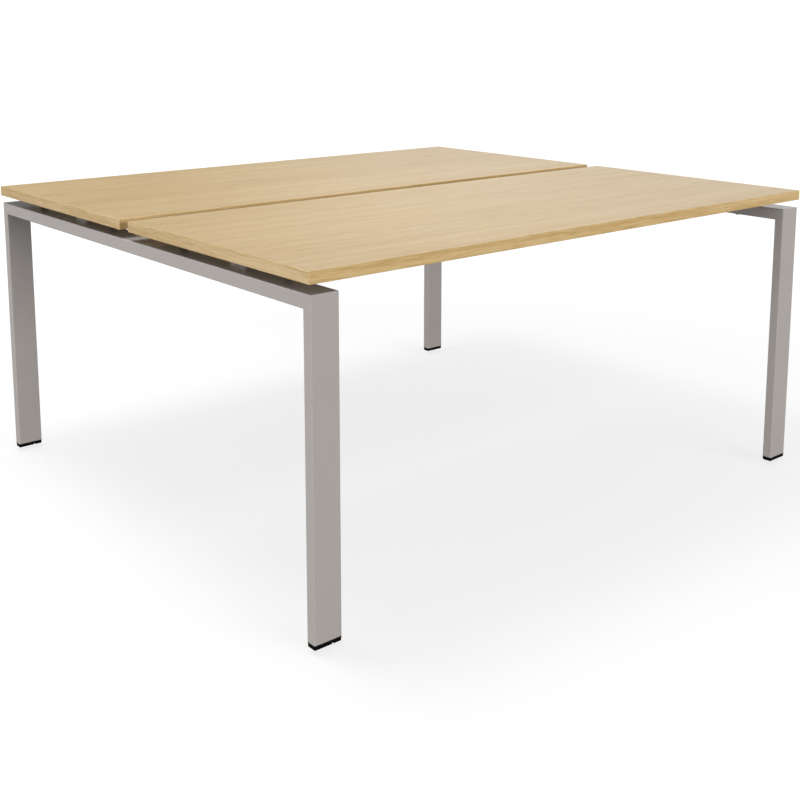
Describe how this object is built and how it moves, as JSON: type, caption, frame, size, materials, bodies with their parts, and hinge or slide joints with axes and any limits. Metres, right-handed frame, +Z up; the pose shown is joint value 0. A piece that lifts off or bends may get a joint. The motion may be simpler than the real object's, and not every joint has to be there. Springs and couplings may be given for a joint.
{
  "type": "bench desk",
  "caption": "Bench desk for people facing each other: paired light oak worktops with a cable gap, floating over silver portal end frames with screw-levelled feet.",
  "frame": {"origin": "on the floor, under the centre of the desk", "axes": "+X along the long side, to the right of the sitter at the near worktop; +Y from the near worktop to the far one; +Z up"},
  "size_m": [1.6, 1.44, 0.74],
  "materials": {
    "oak_laminate": "light oak melamine, fine straight grain, matt",
    "oak_edging": "light oak edging strip, satin",
    "silver_paint": "satin silver-grey powder coat",
    "black_plastic": "moulded, fine texture",
    "zinc_steel": "bright zinc plate"
  },
  "bodies": {
    "desk_frame": {"foot_nuts": "zinc_steel", "front_corner_inserts": "zinc_steel", "front_corner_screws": "zinc_steel", "front_desktop": "oak_laminate", "front_desktop_front_edging": "oak_edging", "front_desktop_left_edging": "oak_edging", "front_desktop_rear_edging": "oak_edging", "front_desktop_right_edging": "oak_edging", "front_left_end_plate": "silver_paint", "front_left_foot_cap": "black_plastic", "front_left_leg": "silver_paint", "front_long_rail": "silver_paint", "front_rail_bolts": "zinc_steel", "front_rail_inserts": "zinc_steel", "front_rail_rivet_nuts": "zinc_steel", "front_rail_screws": "zinc_steel", "front_right_end_plate": "silver_paint", "front_right_foot_cap": "black_plastic", "front_right_leg": "silver_paint", "front_spacers": "black_plastic", "left_cross_rail": "silver_paint", "rear_corner_inserts": "zinc_steel", "rear_corner_screws": "zinc_steel", "rear_desktop": "oak_laminate", "rear_desktop_front_edging": "oak_edging", "rear_desktop_left_edging": "oak_edging", "rear_desktop_rear_edging": "oak_edging", "rear_desktop_right_edging": "oak_edging", "rear_left_end_plate": "silver_paint", "rear_left_foot_cap": "black_plastic", "rear_left_leg": "silver_paint", "rear_long_rail": "silver_paint", "rear_rail_bolts": "zinc_steel", "rear_rail_inserts": "zinc_steel", "rear_rail_rivet_nuts": "zinc_steel", "rear_rail_screws": "zinc_steel", "rear_right_end_plate": "silver_paint", "rear_right_foot_cap": "black_plastic", "rear_right_leg": "silver_paint", "rear_spacers": "black_plastic", "right_cross_rail": "silver_paint"},
    "front_left_glide": {"front_left_glide": "black_plastic"},
    "front_left_stud": {"front_left_stud": "zinc_steel"},
    "front_right_glide": {"front_right_glide": "black_plastic"},
    "front_right_stud": {"front_right_stud": "zinc_steel"},
    "rear_left_glide": {"rear_left_glide": "black_plastic"},
    "rear_left_stud": {"rear_left_stud": "zinc_steel"},
    "rear_right_glide": {"rear_right_glide": "black_plastic"},
    "rear_right_stud": {"rear_right_stud": "zinc_steel"}
  },
  "joints": [
    {"name": "front_left_foot_travel", "type": "slide", "parent": "desk_frame", "child": "front_left_glide", "axis": [0, 0, -1], "range_m": [0, 0.01]},
    {"name": "front_left_stud_turn", "type": "hinge", "parent": "front_left_glide", "child": "front_left_stud", "pos_m": [-0.7635, -0.7055, 0.02], "axis": [0, 0, -1], "range_deg": [0, 2880]},
    {"name": "front_right_foot_travel", "type": "slide", "parent": "desk_frame", "child": "front_right_glide", "axis": [0, 0, -1], "range_m": [0, 0.01]},
    {"name": "front_right_stud_turn", "type": "hinge", "parent": "front_right_glide", "child": "front_right_stud", "pos_m": [0.7635, -0.7055, 0.02], "axis": [0, 0, -1], "range_deg": [0, 2880]},
    {"name": "rear_left_foot_travel", "type": "slide", "parent": "desk_frame", "child": "rear_left_glide", "axis": [0, 0, -1], "range_m": [0, 0.01]},
    {"name": "rear_left_stud_turn", "type": "hinge", "parent": "rear_left_glide", "child": "rear_left_stud", "pos_m": [-0.7635, 0.7055, 0.02], "axis": [0, 0, -1], "range_deg": [0, 2880]},
    {"name": "rear_right_foot_travel", "type": "slide", "parent": "desk_frame", "child": "rear_right_glide", "axis": [0, 0, -1], "range_m": [0, 0.01]},
    {"name": "rear_right_stud_turn", "type": "hinge", "parent": "rear_right_glide", "child": "rear_right_stud", "pos_m": [0.7635, 0.7055, 0.02], "axis": [0, 0, -1], "range_deg": [0, 2880]}
  ],
  "couplings": [
    {"joint": "front_left_foot_travel", "follows": "front_left_stud_turn", "m_per_rad": 0.00019894},
    {"joint": "front_right_foot_travel", "follows": "front_right_stud_turn", "m_per_rad": 0.00019894},
    {"joint": "rear_left_foot_travel", "follows": "rear_left_stud_turn", "m_per_rad": 0.00019894},
    {"joint": "rear_right_foot_travel", "follows": "rear_right_stud_turn", "m_per_rad": 0.00019894}
  ]
}
